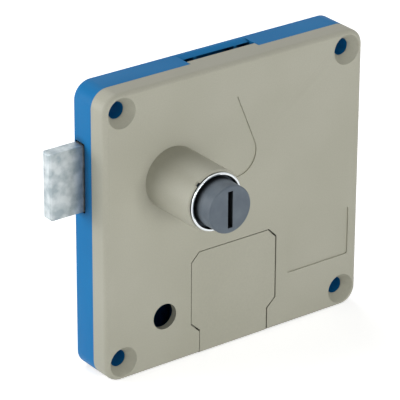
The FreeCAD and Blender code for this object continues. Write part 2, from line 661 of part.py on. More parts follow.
def cylinder_nut():
    body = piece("cylinder_nut", "lock_x", "cover_face", "lock_z")
    sketch = front_view(body, 0)
    loop(sketch, [(f"nut_flats / 2 / cos(30) * cos({turn})", f"nut_flats / 2 / cos(30) * sin({turn})")
                  for turn in range(0, 360, 60)])
    circle(sketch, 0, 0, "tube_radius + running")
    add(body, sketch, "nut_height")


def key_plug():
    """Dark grey plug: head with the key slot, shank in the housing and a square tail."""
    body = piece("key_plug", "lock_x", 0, "lock_z")
    sketch = half_section(body)
    loop(sketch, [("0", "plug_front"), ("plug_radius - ring_edge", "plug_front"),
                  ("plug_radius", "plug_front + ring_edge"), ("plug_radius", "head_back"),
                  ("shank_radius", "head_back"), ("shank_radius", "hub_front"), ("0", "hub_front")])
    turned(body, sketch)
    posts(body, "hub_front - root", [("0", "0")], "tail_width / 2", "crank_back")
    for length, end in (("key_length", "key_mouth"), ("key_blade", "key_depth")):
        sketch = front_view(body, "plug_front - over")
        box(sketch, "-key_width / 2", "key_width / 2", f"-{length} / 2", f"{length} / 2")
        cut(body, sketch, f"{end} + over")
    holes(body, "crank_back - small_length - clearance", [("0", "0")], "small_shank + running",
          "crank_back + over")


def drive_crank():
    """Zinc crank on the plug's tail; its pin drives the bolt and its stop meets the coin lever."""
    body = piece("drive_crank", "lock_x", 0, "lock_z", "-key_turn / 2")
    sketch = front_view(body, "hub_front")
    circle(sketch, 0, 0, "crank_hub")
    add(body, sketch, "crank_back - hub_front")
    sketch = front_view(body, "crank_front")
    bar(sketch, 0, "0", "crank_radius", "2 * (crank_pin + crank_rim)")
    add(body, sketch, "crank_thick")
    sketch = front_view(body, "crank_front")
    circle(sketch, 0, "crank_radius", "crank_pin + crank_rim")
    add(body, sketch, "crank_thick")
    sketch = front_view(body, "hub_front + clearance")
    bar(sketch, 0, "0", "stop_reach", "stop_width")
    add(body, sketch, "crank_front - hub_front")
    sketch = front_view(body, "crank_back - root")
    circle(sketch, 0, "crank_radius", "crank_pin")
    add(body, sketch, "bolt_back - pin_short - crank_back + root")
    sketch = front_view(body, "hub_front - over")
    half = "(tail_width / 2 + running)"
    bar(sketch, "key_turn / 2", f"-{half}", half, f"2 * {half}")
    cut(body, sketch, "crank_back - hub_front + 2 * over")


def lock_bolt():
    """Flat steel bolt with the crank's slot and the gate lever's notch."""
    body = piece("lock_bolt")
    block(body, "bolt_front", "bolt_tip", "bolt_end", "bolt_low", "bolt_high", "bolt_back")
    tip = number("bolt_tip")
    soften(body, "Chamfer", "bolt_chamfer", lambda edge: lies_at(edge, "X", tip))
    for x, half, low, high in (("bolt_slot_x", "bolt_slot_half", "bolt_slot_low", "bolt_slot_high"),
                               ("gate_notch_x", "gate_notch_half", "bolt_low - over", "gate_notch_top")):
        sketch = front_view(body, "bolt_front - over")
        box(sketch, f"{x} - {half}", f"{x} + {half}", low, high)
        cut(body, sketch, "bolt_thick + 2 * over")


def bolt_strap():
    """Steel strap across the rails, in front of the bolt."""
    body = piece("bolt_strap", STRAP_X, "rail_front - strap_thick", 0)
    sketch = front_view(body, 0)
    end = "(strap_reach + strap_end)"
    box(sketch, "-strap_width / 2", "strap_width / 2", f"bolt_low - {end}", f"bolt_high + {end}")
    for x, z in STRAP_SCREWS:
        circle(sketch, 0, z, "small_shank + running")
    add(body, sketch, "strap_thick")
    soften(body, "Chamfer", "strap_corner", along("y"))


def lever_hub(body, front, thick):
    sketch = front_view(body, front)
    circle(sketch, 0, 0, "pivot_radius + hub_wall")
    add(body, sketch, thick)


def gate_lever():
    """Bell-crank: its pin follows the bolt's notch, its toe holds the coin in the channel."""
    body = piece("gate_lever", "gate_x", 0, "gate_z", "-gate_angle")
    lever_hub(body, "gate_front", "gate_thick")
    for angle, reach in (("0", "gate_arm"), ("gate_bend", "gate_toe")):
        sketch = front_view(body, "gate_front")
        bar(sketch, angle, "0", reach, "gate_width")
        add(body, sketch, "gate_thick")
        sketch = front_view(body, "gate_front")
        circle(sketch, f"{reach} * sin({angle})", f"{reach} * cos({angle})", "gate_width / 2")
        add(body, sketch, "gate_thick")
    sketch = front_view(body, "gate_back - root")
    circle(sketch, 0, "gate_arm", "gate_pin_radius")
    add(body, sketch, "bolt_back - pin_short - gate_back + root")
    holes(body, "gate_front - over", [("0", "0")], "pivot_radius + running", "gate_back + over")


def coin_lever():
    """Stamped sensing lever: a tall arm, a long arm with a tooth, and a nose bent into the channel."""
    body = piece("coin_lever", "lever_x", 0, "lever_z")
    lever_hub(body, "lever_front", "lever_thick")
    half = "lever_width / 2"
    knee = "bolt_high + knee_rise - lever_z"
    tooth_x, tooth_z = "lock_x + tooth_out - lever_x", "lock_z + tooth_up - lever_z"
    flank = f"{tooth_x} - tooth_half - tooth_slope"
    sketch = front_view(body, "lever_front")
    loop(sketch, [(f"-{half}", "0"), (half, "0"), (f"{half} - knee_shift", f"{knee} + {half}"),
                  (flank, f"{knee} + {half}"), (flank, f"{knee} - {half}"),
                  (f"{tooth_x} - tooth_half", tooth_z), (f"{tooth_x} + tooth_half", tooth_z),
                  (f"{tooth_x} + tooth_half", f"{knee} - {half}"),
                  (f"-{half} - knee_shift", f"{knee} - {half}")])
    add(body, sketch, "lever_thick")
    nose, low, high = "coin_right - nose_in - lever_x", f"nose_rise - {half}", f"nose_rise + {half}"
    block(body, "lever_front", nose, "0", low, high, "lever_back")
    block(body, "lever_front", nose, f"{nose} + lever_thick", low, high, "coin_front + nose_deep")
    holes(body, "lever_front - over", [("0", "0")], "pivot_radius + running", "lever_back + over")


def pivot_pin(label, x, z, clip_y):
    """Steel pin, from just in front of its clip to the rear wall."""
    body = piece(label, x, 0, z)
    sketch = front_view(body, f"{clip_y} - clip_gap")
    circle(sketch, 0, 0, "pivot_radius")
    add(body, sketch, f"back_inner - running - ({clip_y} - clip_gap)")


def clip(label, x, z, clip_y):
    """Push-on retaining clip: a plate with a mouth that is pushed over the pin from below."""
    body = piece(label, x, clip_y, z)
    out, inner = "(pivot_radius + clip_out)", "(pivot_radius + running)"
    sketch = front_view(body, 0)
    loop(sketch, [(f"-{out}", f"-{out}"), (f"-{inner}", f"-{out}"), (f"-{inner}", inner), (inner, inner),
                  (inner, f"-{out}"), (out, f"-{out}"), (out, out), (f"-{out}", out)])
    add(body, sketch, "clip_thick")


def coin_guide():
    """Moulded plate that closes the coin channel, notched for the coin lever's nose."""
    body = piece("coin_guide")
    left, right = "coin_left - rail_thick", "coin_right + rail_thick"
    foot_left, foot_right = "coin_slot_x + guide_foot_left", "lever_x - pivot_post - 2 * clearance"
    foot, notch = "scoop_top + 2 * clearance", "coin_right - nose_notch"
    gap = "(nose_gap + 2 * clearance)"
    sketch = front_view(body, "guide_front")
    loop(sketch, [(left, "guide_bottom"), (foot_left, "guide_bottom"), (foot_left, foot), (foot_right, foot),
                  (foot_right, f"nose_z - {gap}"), (notch, f"nose_z - {gap}"), (notch, f"nose_z + {gap}"),
                  (right, f"nose_z + {gap}"), (right, "height / 2 - wall - clearance"),
                  (left, "height / 2 - wall - clearance")])
    add(body, sketch, "guide_thick")
    for (x, z), way, inner in zip(GUIDE_SCREWS, "-+", (f"{left} + root", "scoop_right + 2 * clearance")):
        block(body, "guide_front", inner, f"{x} {way} guide_ear", f"{z} - guide_ear", f"{z} + guide_ear",
              "coin_front")
    holes(body, "guide_front - over", GUIDE_SCREWS, "small_shank + running", "coin_front + over")
    holes(body, "guide_front - over", [PEG], "pivot_radius + running", "coin_front + over")


def coin_peg():
    """Steel peg that carries the coin's right side."""
    body = piece("coin_peg", *PEG[:1], 0, *PEG[1:])
    sketch = front_view(body, "guide_front + peg_end")
    circle(sketch, 0, 0, "pivot_radius")
    add(body, sketch, "back_inner - running - guide_front - peg_end")


def return_scoop():
    """Curved tray under the coin channel, between two cheeks, open to the rear."""
    body = piece("return_scoop")
    sketch = side_view(body, "scoop_left")
    circle(sketch, "scoop_y", "scoop_top", "scoop_radius + scoop_thick")
    add(body, sketch, "scoop_width", "right")
    sketch = side_view(body, "scoop_left + scoop_thick")
    circle(sketch, "scoop_y", "scoop_top", "scoop_radius")
    cut(body, sketch, "scoop_width - 2 * scoop_thick", "right")
    reach = "(scoop_radius + scoop_thick + over)"
    for low_y, low_z, high_z in ((f"scoop_y - {reach}", "scoop_top", f"scoop_top + {reach}"),
                                 ("back_inner", f"scoop_top - {reach}", "scoop_top")):
        sketch = side_view(body, "scoop_left - over")
        box(sketch, low_y, f"scoop_y + {reach}", low_z, high_z)
        cut(body, sketch, "scoop_width + 2 * over", "right")


def solid(kind, sizes, x, y, z, turn=0):
    """A plain solid of its own with bound sizes and place, turned about X."""
    item = doc.addObject(f"Part::{kind}", kind.lower())
    item.Placement = FreeCAD.Placement(FreeCAD.Vector(), FreeCAD.Rotation(FreeCAD.Vector(1, 0, 0), turn))
    for name, size in sizes.items():
        item.setExpression(name, bound(size))
    for axis, place in (("x", x), ("y", y), ("z", z)):
        item.setExpression(f"Placement.Base.{axis}", bound(place))
    return item


def joined(kind, base, tool):
    item = doc.addObject(f"Part::{kind}", kind.lower())
    item.Base, item.Tool = base, tool
    return item


def screws(label, places, seat, shank, head, height, length, to_rear):
    """Like screws as one group: heads on the plane y = seat, shanks going to the rear or the front."""
    made = []
    for x, z in places:
        stem_y = f"{seat} - root" if to_rear else f"{seat} - ({length})"
        head_y = f"{seat} - {height}" if to_rear else seat
        slot_y = f"{head_y} - {height} / 2" if to_rear else f"{head_y} + {height} / 2"
        stem = solid("Cylinder", {"Radius": shank, "Height": f"{length} + root"}, x, stem_y, z, -90)
        top = solid("Cylinder", {"Radius": head, "Height": height}, x, head_y, z, -90)
        slot = solid("Box", {"Length": f"2 * ({head} + over)", "Width": height, "Height": f"{head} / 3"},
                     f"{x} - {head} - over", slot_y, f"{z} - {head} / 6")
        made.append(joined("Cut", joined("Fuse", stem, top), slot))
    if len(made) == 1:
        made[0].Label = label
        return
    group = doc.addObject("Part::Compound", label)
    group.Links = made
    group.Label = label


def lever_spring():
    """Torsion spring round the lever's pin: close-wound turns, a leg to the case and one to the lever."""
    body = piece("lever_spring", "lever_x", 0, "lever_z")
    inner = "coil_radius - wire_radius"
    outline = [(inner, "coil_front"), ("coil_radius", "coil_front")]
    for turn in range(int(number("coil_turns"))):
        outline.append(("coil_radius + wire_radius", f"coil_front + wire_radius * {2 * turn + 1}"))
        outline.append(("coil_radius", f"coil_front + wire_radius * {2 * turn + 2}"))
    outline.append((inner, f"{outline[-1][1]}"))
    sketch = half_section(body)
    loop(sketch, outline)
    turned(body, sketch)
    side, wire = ("coil_radius - 0.8 * wire_radius", "coil_radius + 0.8 * wire_radius"), "1.5 * wire_radius"
    rear = f"lever_front - clearance - {wire}"
    block(body, rear, *side, "0", "hook_rise", f"{rear} + {wire}")
    block(body, rear, *side, f"hook_rise - {wire}", "hook_rise", "lever_back + wire_radius")
    block(body, "coil_front", "0", "spring_reach + spring_post + wire_radius", *side, f"coil_front + {wire}")


rear_case()
front_cover()
coin_hatch()
cylinder_housing()
cylinder_nut()
key_plug()
drive_crank()
lock_bolt()
bolt_strap()
gate_lever()
pivot_pin("gate_pin", "gate_x", "gate_z", "gate_clip_y")
clip("gate_clip", "gate_x", "gate_z", "gate_clip_y")
coin_lever()
pivot_pin("lever_pin", "lever_x", "lever_z", "lever_clip_y")
clip("lever_clip", "lever_x", "lever_z", "lever_clip_y")
lever_spring()
coin_guide()
coin_peg()
return_scoop()
screws("crank_screw", [("lock_x", "lock_z")], "crank_back", "small_shank", "crank_screw_head",
       "small_head_height", "small_length", to_rear=False)
screws("strap_screws", STRAP_SCREWS, "rail_front - strap_thick", "small_shank", "small_head",
       "small_head_height", "small_length", to_rear=True)
screws("guide_screws", GUIDE_SCREWS, "guide_front", "small_shank", "small_head", "small_head_height",
       "small_length", to_rear=True)
screws("case_screws", CASE_SCREWS, "head_seat", "screw_shank", "screw_head", "screw_head_height",
       "head_seat - cover_face - screw_floor - screw_end", to_rear=False)

# Every object has to be sound before anything is written
doc.recompute()
for item in doc.Objects:
    if {"Invalid", "Error"} & set(item.State):
        raise ValueError(f"{item.Label} failed")
NODES = ["rear_case", "front_cover", "coin_hatch", "cylinder_housing", "cylinder_nut", "key_plug",
         "drive_crank", "crank_screw", "lock_bolt", "bolt_strap", "strap_screws", "gate_lever", "gate_pin",
         "gate_clip", "coin_lever", "lever_pin", "lever_clip", "lever_spring", "coin_guide", "guide_screws",
         "coin_peg", "return_scoop", "case_screws"]
for node in NODES:
    shape = doc.getObjectsByLabel(node)[0].Shape
    if shape.isNull() or not shape.isValid():
        raise ValueError(f"{node} is not a valid solid")
    shape.exportStep(f"parts/{node}.step")
    print(node, len(shape.Solids), round(shape.Volume, 1))
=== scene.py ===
"""Coin operated lock for a locker door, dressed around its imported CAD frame. X right, Y rear, Z up."""
import bmesh
import bpy
from math import hypot, pi, radians
from mathutils import Matrix, Vector


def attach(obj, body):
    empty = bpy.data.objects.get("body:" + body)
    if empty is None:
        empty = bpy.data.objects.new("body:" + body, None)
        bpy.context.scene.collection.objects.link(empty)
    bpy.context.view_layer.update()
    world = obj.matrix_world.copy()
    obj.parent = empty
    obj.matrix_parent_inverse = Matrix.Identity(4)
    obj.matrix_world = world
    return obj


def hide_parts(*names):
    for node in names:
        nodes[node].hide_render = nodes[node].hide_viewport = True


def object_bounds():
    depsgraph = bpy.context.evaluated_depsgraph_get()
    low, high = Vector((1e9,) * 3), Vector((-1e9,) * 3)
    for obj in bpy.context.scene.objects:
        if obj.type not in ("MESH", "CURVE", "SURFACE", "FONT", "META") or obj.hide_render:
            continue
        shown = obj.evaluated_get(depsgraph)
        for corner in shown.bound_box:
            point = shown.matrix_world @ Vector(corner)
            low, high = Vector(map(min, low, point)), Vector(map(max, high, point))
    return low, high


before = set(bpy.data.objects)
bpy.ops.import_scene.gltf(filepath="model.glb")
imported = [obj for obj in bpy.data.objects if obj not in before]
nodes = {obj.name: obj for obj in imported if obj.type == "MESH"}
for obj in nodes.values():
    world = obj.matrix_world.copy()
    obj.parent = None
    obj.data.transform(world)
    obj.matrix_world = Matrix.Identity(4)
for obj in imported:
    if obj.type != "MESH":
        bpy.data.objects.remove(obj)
cad_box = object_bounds()
scene = bpy.context.scene
scene.view_settings.view_transform = "Standard"

# Camera: it stands to the left of the lock and above it, far off, so that the lock is seen with little
# perspective. The angles, the focal length and the aim were fitted to the photograph's edges and holes.
MM = 0.001
CAMERA_YAW, CAMERA_PITCH, CAMERA_ROLL = radians(36.65), radians(25.05), radians(0.289)
CAMERA_AIM = Vector((-8.95, 7.47, 1.39)) * MM
CAMERA_DISTANCE = 950.6 * MM
SENSOR_WIDTH, FOCAL_LENGTH = 36, 264.4
NEAREST = 50 * MM
camera = bpy.data.objects.new("camera", bpy.data.cameras.new("camera"))
camera.data.sensor_width = SENSOR_WIDTH
camera.data.lens = FOCAL_LENGTH
camera.data.clip_start = NEAREST
camera.matrix_world = (Matrix.Translation(CAMERA_AIM)
                       @ Matrix.Rotation(-CAMERA_YAW, 4, "Z")
                       @ Matrix.Rotation(pi / 2 - CAMERA_PITCH, 4, "X")
                       @ Matrix.Rotation(CAMERA_ROLL, 4, "Z")
                       @ Matrix.Translation((0, 0, CAMERA_DISTANCE)))
scene.collection.objects.link(camera)
scene.camera = camera

# Stage: a plain pale floor just under the lock, a white surround, and three large soft lamps. One stands
# in front and lights the face; the left and the top one stand behind it, so that they light only the
# edges and what stands out, and the root of the boss stays in shade as in the photograph.
FLOOR_GAP = 0.2 * MM
FLOOR_HALF = 4
FLOOR_LIFT = 0.66
WORLD_LEVEL = 0.2
# name, place, size and power of each lamp, all aimed at the middle of the lock
LAMPS = [("left_lamp", (-1.1, 0.7, 0.12), 1.0, 16.5),
         ("front_lamp", (-0.1, -1.5, 0.1), 0.9, 18.8),
         ("top_lamp", (0.0, 0.9, 1.5), 1.0, 9.0)]


def linear(code):
    """An sRGB hex colour as the linear values that Blender's sockets take."""
    parts = [int(code[i:i + 2], 16) / 255 for i in (0, 2, 4)]
    return [part / 12.92 if part <= 0.04045 else ((part + 0.055) / 1.055) ** 2.4 for part in parts] + [1]


def add(tree, kind, settings=(), links=()):
    """One node: settings go to its properties or sockets, links join its sockets to outputs."""
    node = tree.nodes.new(kind)
    for name, value in dict(settings).items():
        if isinstance(name, str) and name in node.bl_rna.properties:
            setattr(node, name, value)
        else:
            node.inputs[name].default_value = value
    for name, output in dict(links).items():
        tree.links.new(output, node.inputs[name])
    return node


def on_rays(tree, first, *others):
    """1 on the rays of the named kinds and 0 on all others, so that only those see the white stage."""
    rays = add(tree, "ShaderNodeLightPath")
    seen = rays.outputs[first]
    for kind in others:
        seen = add(tree, "ShaderNodeMath", {"operation": "MAXIMUM"},
                   {0: seen, 1: rays.outputs[kind]}).outputs[0]
    return seen


floor_z = cad_box[0].z - FLOOR_GAP
floor_mesh = bpy.data.meshes.new("floor")
floor_mesh.from_pydata([(-FLOOR_HALF, -FLOOR_HALF, floor_z), (FLOOR_HALF, -FLOOR_HALF, floor_z),
                        (FLOOR_HALF, FLOOR_HALF, floor_z), (-FLOOR_HALF, FLOOR_HALF, floor_z)],
                       [], [(0, 1, 2, 3)])
floor = bpy.data.objects.new("floor", floor_mesh)
scene.collection.objects.link(floor)
floor_paint = bpy.data.materials.new("white_paper")
floor_paint.use_nodes = True
tree = floor_paint.node_tree
tree.nodes.clear()
seen = on_rays(tree, "Is Camera Ray", "Is Glossy Ray")
lift = add(tree, "ShaderNodeMath", {"operation": "MULTIPLY", 1: FLOOR_LIFT}, {0: seen})
paper = add(tree, "ShaderNodeBsdfDiffuse", {"Color": linear("F4F4F4")})
glow = add(tree, "ShaderNodeEmission", {"Color": linear("FFFFFF")}, {"Strength": lift.outputs[0]})
both = add(tree, "ShaderNodeAddShader", {}, {0: paper.outputs[0], 1: glow.outputs[0]})
add(tree, "ShaderNodeOutputMaterial", {}, {"Surface": both.outputs[0]})
floor_mesh.materials.append(floor_paint)

scene.world = bpy.data.worlds.new("studio")
scene.world.use_nodes = True
tree = scene.world.node_tree
tree.nodes.clear()
seen = on_rays(tree, "Is Camera Ray", "Is Glossy Ray", "Is Transmission Ray")
level = add(tree, "ShaderNodeMapRange", {"To Min": WORLD_LEVEL, "To Max": 1.0}, {"Value": seen})
surround = add(tree, "ShaderNodeBackground", {"Color": linear("FFFFFF")}, {"Strength": level.outputs[0]})
add(tree, "ShaderNodeOutputWorld", {}, {"Surface": surround.outputs[0]})

for name, place, size, power in LAMPS:
    lamp = bpy.data.lights.new(name, "AREA")
    lamp.size = size
    lamp.energy = power
    holder = bpy.data.objects.new(name, lamp)
    holder.matrix_world = (Matrix.Translation(place)
                           @ (-Vector(place)).to_track_quat("-Z", "Y").to_matrix().to_4x4())
    scene.collection.objects.link(holder)

# Rear half of the case: one ABS moulding in blue, fixed to the cover by two screws from behind. The coin
# guide and the return scoop inside it are mouldings of the same plastic. From a spark-eroded mould they
# come out satin, with a fine even grain and faint flow marks.
ABS_IOR = 1.54
ABS_ROUGHNESS = (0.44, 0.56)
# the real grain is about 0.1 mm across, too fine for the render, so it is drawn 0.5 mm across
GRAIN = 0.5 * MM
GRAIN_HEIGHT = 0.02 * MM
GRAIN_STRENGTH = 0.25
GRAIN_SPECK = (0.96, 1.03)
FLOW_MARK = 26 * MM
# the parts of a noise's range that clouds and grain are spread over
CLOUD_SPAN = {"From Min": 0.35, "From Max": 0.65}
GRAIN_SPAN = {"From Min": 0.3, "From Max": 0.7}
# painted shade in holes and slots: how far round a point it looks for cover, and with how many rays
RECESS_REACH = 3 * MM
RECESS_SAMPLES = 8

# how a copy is made: loose triangles are merged, flat faces joined, and edges sharper than this eased
MERGE, FLAT, SHARP = 0.001 * MM, radians(0.5), radians(32)
EASING_STEPS = 2

# in millimetres: where the model's vertices stand, and where the copy's come to stand
NEAR = 0.05
SEAM = 7.2
FIXING_HOLES = [(x, z) for x in (-44.75, 44.75) for z in (-43.5, 43.5)]
BORE_REACH = 3.1
POST_TOP = 3.6
SLOT_ENDS = (-13.3, 14.3)
MODEL_LIP, SLOT_LIP = (12.2, 47.8), (12.5, 49.4)
MODEL_RIB, RIB_DROP = (12.1, 47.7), 5
MODEL_RAMP, RAMP_BACK = (14.4, 50.0), 15.1
CASE_EDGE = 0.15


def material(name, **sockets):
    """A material with one Principled shader, whose constants are set on its own sockets."""
    made = bpy.data.materials.new(name)
    made.use_nodes = True
    shader = made.node_tree.nodes["Principled BSDF"]
    for socket, value in sockets.items():
        shader.inputs[socket.replace("_", " ")].default_value = value
    return made, made.node_tree, shader


def painted_recess_shade(tree, colour, shade_depth):
    """A colour darkened by painted shade in holes and slots, the more the nearer its surroundings close in.
    """
    hidden = add(tree, "ShaderNodeAmbientOcclusion", {"samples": RECESS_SAMPLES, "Distance": RECESS_REACH})
    dark = add(tree, "ShaderNodeMath", {"operation": "POWER", 1: shade_depth}, {0: hidden.outputs["AO"]})
    return add(tree, "ShaderNodeMix", {"data_type": "RGBA", "blend_type": "MULTIPLY", 0: 1.0},
               {6: colour, 7: dark.outputs[0]}).outputs[2]


def moulded_abs(name, colour, shade, flow, gloss, shade_depth):
    """Moulded ABS: flow marks between colour and shade, one grain for specks, gloss and relief; painted
    shade in recesses.
    """
    made, tree, shader = material(name, IOR=ABS_IOR, Specular_IOR_Level=gloss)
    place = add(tree, "ShaderNodeTexCoord").outputs["Object"]
    cloud = add(tree, "ShaderNodeTexNoise", {"Scale": 1 / FLOW_MARK, "Detail": 2.0, "Roughness": 0.4},
                {"Vector": place})
    grain = add(tree, "ShaderNodeTexNoise", {"Scale": 1 / GRAIN, "Detail": 2.0, "Roughness": 0.6},
                {"Vector": place})
    tint = add(tree, "ShaderNodeMapRange", {**CLOUD_SPAN, "To Max": flow}, {"Value": cloud.outputs["Fac"]})
    base = add(tree, "ShaderNodeMix", {"data_type": "RGBA", 6: linear(colour), 7: linear(shade)},
               {0: tint.outputs[0]})
    speck = add(tree, "ShaderNodeMapRange",
                {**GRAIN_SPAN, "To Min": GRAIN_SPECK[0], "To Max": GRAIN_SPECK[1]},
                {"Value": grain.outputs["Fac"]})
    skin = add(tree, "ShaderNodeMix", {"data_type": "RGBA", "blend_type": "MULTIPLY", 0: 1.0},
               {6: base.outputs[2], 7: speck.outputs[0]})
    satin = add(tree, "ShaderNodeMapRange",
                {**GRAIN_SPAN, "To Min": ABS_ROUGHNESS[0], "To Max": ABS_ROUGHNESS[1]},
                {"Value": grain.outputs["Fac"]})
    relief = add(tree, "ShaderNodeBump", {"Strength": GRAIN_STRENGTH, "Distance": GRAIN_HEIGHT},
                 {"Height": grain.outputs["Fac"]})
    tree.links.new(painted_recess_shade(tree, skin.outputs[2], shade_depth), shader.inputs["Base Color"])
    tree.links.new(satin.outputs[0], shader.inputs["Roughness"])
    tree.links.new(relief.outputs[0], shader.inputs["Normal"])
    return made


def dress(node_name, made, piece_name=None, edge=0.0, body="case", reshape=None):
    """Gives a CAD node its material; with an edge width in mm, a merged copy with eased edges replaces it.

    Reshape is a function that moves some of the copy's vertices before its edges are eased.
    """
    node = nodes[node_name]
    if not edge:
        node.data.materials.clear()
        node.data.materials.append(made)
        return
    work = bmesh.new()
    work.from_mesh(node.data)
    bmesh.ops.remove_doubles(work, verts=work.verts, dist=MERGE)
    if reshape:
        reshape(work)
        work.normal_update()
    bmesh.ops.dissolve_limit(work, angle_limit=FLAT, verts=work.verts, edges=work.edges)
    mesh = bpy.data.meshes.new(piece_name)
    work.to_mesh(mesh)
    work.free()
    mesh.shade_smooth()
    mesh.set_sharp_from_angle(angle=SHARP)
    piece = bpy.data.objects.new(piece_name, mesh)
    scene.collection.objects.link(piece)
    easing = piece.modifiers.new("eased_edges", "BEVEL")
    easing.width = edge * MM
    easing.segments = EASING_STEPS
    easing.limit_method = "ANGLE"
    easing.angle_limit = SHARP
    easing.harden_normals = True
    view = bpy.context.evaluated_depsgraph_get()
    view.update()
    final = bpy.data.meshes.new_from_object(piece.evaluated_get(view))
    piece.modifiers.clear()
    piece.data = final
    final.materials.clear()
    final.materials.append(made)
    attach(piece, body)
    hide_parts(node_name)


def at(spot, place):
    """True where two pairs of measures are the same, within NEAR."""
    return abs(spot[0] - place[0]) < NEAR and abs(spot[1] - place[1]) < NEAR


def raise_posts(work):
    """Moves the joint in each fixing hole up to the countersink: the blue posts reach that far."""
    for vert in work.verts:
        x, y, z = vert.co / MM
        in_bore = any(hypot(x - hole_x, z - hole_z) < BORE_REACH for hole_x, hole_z in FIXING_HOLES)
        if in_bore and abs(y - SEAM) < NEAR:
            vert.co.y = POST_TOP * MM


def case_form(work):
    """Posts up to the countersinks, and a coin slot whose lead-in ends at a thin lip over the channel.

    The tops of the two ribs in the channel go down, so that they stay out of sight behind the lip.
    """
    raise_posts(work)
    for vert in work.verts:
        x, y, z = vert.co / MM
        if not SLOT_ENDS[0] < x < SLOT_ENDS[1]:
            continue
        if at((y, z), MODEL_LIP):
            vert.co.y, vert.co.z = SLOT_LIP[0] * MM, SLOT_LIP[1] * MM
        if at((y, z), MODEL_RIB):
            vert.co.z -= RIB_DROP * MM
        if at((y, z), MODEL_RAMP):
            vert.co.y = RAMP_BACK * MM


# strong painted shade darkens the blue in the fixing holes, the coin slot and its ramp
blue_abs = moulded_abs("blue_moulded_abs", colour="127AB8", shade="0B71B0", flow=0.6, gloss=0.1, shade_depth=1.8)
dress("rear_case", blue_abs, "case_moulding", CASE_EDGE, reshape=case_form)
dress("coin_guide", blue_abs)
dress("return_scoop", blue_abs)

# Front cover with the long boss, a grey-beige ABS moulding, held by the same two screws. Its wall is thin
# round the service hole, and the boss meets the face without a fillet.
BOSS = (-25.3, 16.8)
MODEL_BOSS_RADII = (10.55, 11.3)
BOSS_RADIUS = 10.5
SERVICE_HOLE = (-28.4, -32.0)
COLLAR_REACH = 6.1
THIN_WALL = 2.3
COVER_EDGE = 0.15


def off_axis(x, z):
    """Distance of a place from the boss's axis, in millimetres."""
    return hypot(x - BOSS[0], z - BOSS[1])


def spread(vert, radius):
    """Moves a vertex to a new radius about the boss's axis."""
    x, y, z = vert.co / MM
    scale = radius / off_axis(x, z)
    vert.co.x = (BOSS[0] + (x - BOSS[0]) * scale) * MM
    vert.co.z = (BOSS[1] + (z - BOSS[1]) * scale) * MM


def cover_form(work):
    """Posts up to the countersinks, a thin wall at the service hole, and a boss with a plain foot."""
    raise_posts(work)
    for vert in work.verts:
        x, y, z = vert.co / MM
        at_service_hole = max(abs(x - SERVICE_HOLE[0]), abs(z - SERVICE_HOLE[1])) < COLLAR_REACH
        if at_service_hole and abs(y - SEAM) < NEAR:
            vert.co.y = THIN_WALL * MM
        if y < NEAR and MODEL_BOSS_RADII[0] < off_axis(x, z) < MODEL_BOSS_RADII[1]:
            spread(vert, BOSS_RADIUS)


# only a faint painted shade darkens the grey in its recesses
grey_abs = moulded_abs("grey_moulded_abs", colour="B2B1A2", shade="ABAA9A", flow=0.6, gloss=0.3, shade_depth=0.05)
dress("front_cover", grey_abs, "cover_moulding", COVER_EDGE, reshape=cover_form)

# Coin hatch: a plate of the same plastic, snapped into the cover from the front. It lies a little below
# the face, with a fine gap round it, which is widened here on the left, at the top and at the left step.
HATCH_BACK = 2.2
HATCH_MIDDLE = -0.5
HATCH_TOP_FROM = -17
HATCH_STEP = (-45, -36)
HATCH_GAP = 0.18
MODEL_SUNK, HATCH_SUNK = 0.6, 0.25
HATCH_EDGE = 0.1


def hatch_form(work):
    """Brings the hatch's face up to just below the cover's and draws its plate in on three sides."""
    for vert in work.verts:
        x, y, z = vert.co / MM
        if y < HATCH_BACK + NEAR:
            if x < HATCH_MIDDLE:
                vert.co.x += HATCH_GAP * MM
            if z > HATCH_TOP_FROM:
                vert.co.z -= HATCH_GAP * MM
            elif x < HATCH_MIDDLE and HATCH_STEP[0] < z < HATCH_STEP[1]:
                vert.co.z += HATCH_GAP * MM
        if y < HATCH_BACK - NEAR:
            vert.co.y -= (MODEL_SUNK - HATCH_SUNK) * MM


dress("coin_hatch", grey_abs, "hatch_moulding", HATCH_EDGE, reshape=hatch_form)

# Cylinder housing: die-cast zinc, brought to a polish and chromed, clamped in the boss by a nut from behind.
# Its ring has a thin bright lip with an undercut behind it. Inside the lip the mouth is rougher, and its
# colour is darkened there with painted shade for the gap between the ring and the plug.
# the lip's inner edge, by radius and by y, where the mouth's painted shade and rougher finish end
LIP_INNER = (8.98 * MM, 9.04 * MM)
LIP_FRONT = (-22.85 * MM, -22.95 * MM)
POLISH_SCRATCH = 1.2 * MM
POLISH_ROUGHNESS, MOUTH_ROUGHNESS = (0.05, 0.14), 0.35
# y and radius of the ring's edges, in millimetres: in the model, and in the copy
RING = {(-23.4, 8.7): (-23.4, 9.05), (-23.4, 9.25): (-23.4, 9.5), (-23.05, 9.6): (-23.15, 9.75),
        (-22.57, 9.6): (-22.85, 9.75), (-22.08, 9.6): (-22.5, 9.3)}
RING_RADIUS = 9.6
RING_WALL = 1.45
RING_CUTS = 2
RING_EDGE = 0.06


def ring_form(work):
    """Turns the plain ring into a thin lip with an undercut that parts it from the boss's end."""
    wall = [edge for edge in work.edges
            if all(abs(off_axis(vert.co.x / MM, vert.co.z / MM) - RING_RADIUS) < NEAR for vert in edge.verts)
            and abs(edge.verts[0].co.y - edge.verts[1].co.y) > (RING_WALL - NEAR) * MM]
    straight = [edge for edge in wall if edge.calc_length() < RING_WALL * MM + MERGE / 10]
    bmesh.ops.dissolve_edges(work, edges=[edge for edge in wall if edge not in straight])
    bmesh.ops.subdivide_edges(work, edges=straight, cuts=RING_CUTS, use_grid_fill=True)
    for vert in work.verts:
        x, y, z = vert.co / MM
        for old, new in RING.items():
            if at((y, off_axis(x, z)), old):
                spread(vert, new[1])
                vert.co.y = new[0] * MM
                break


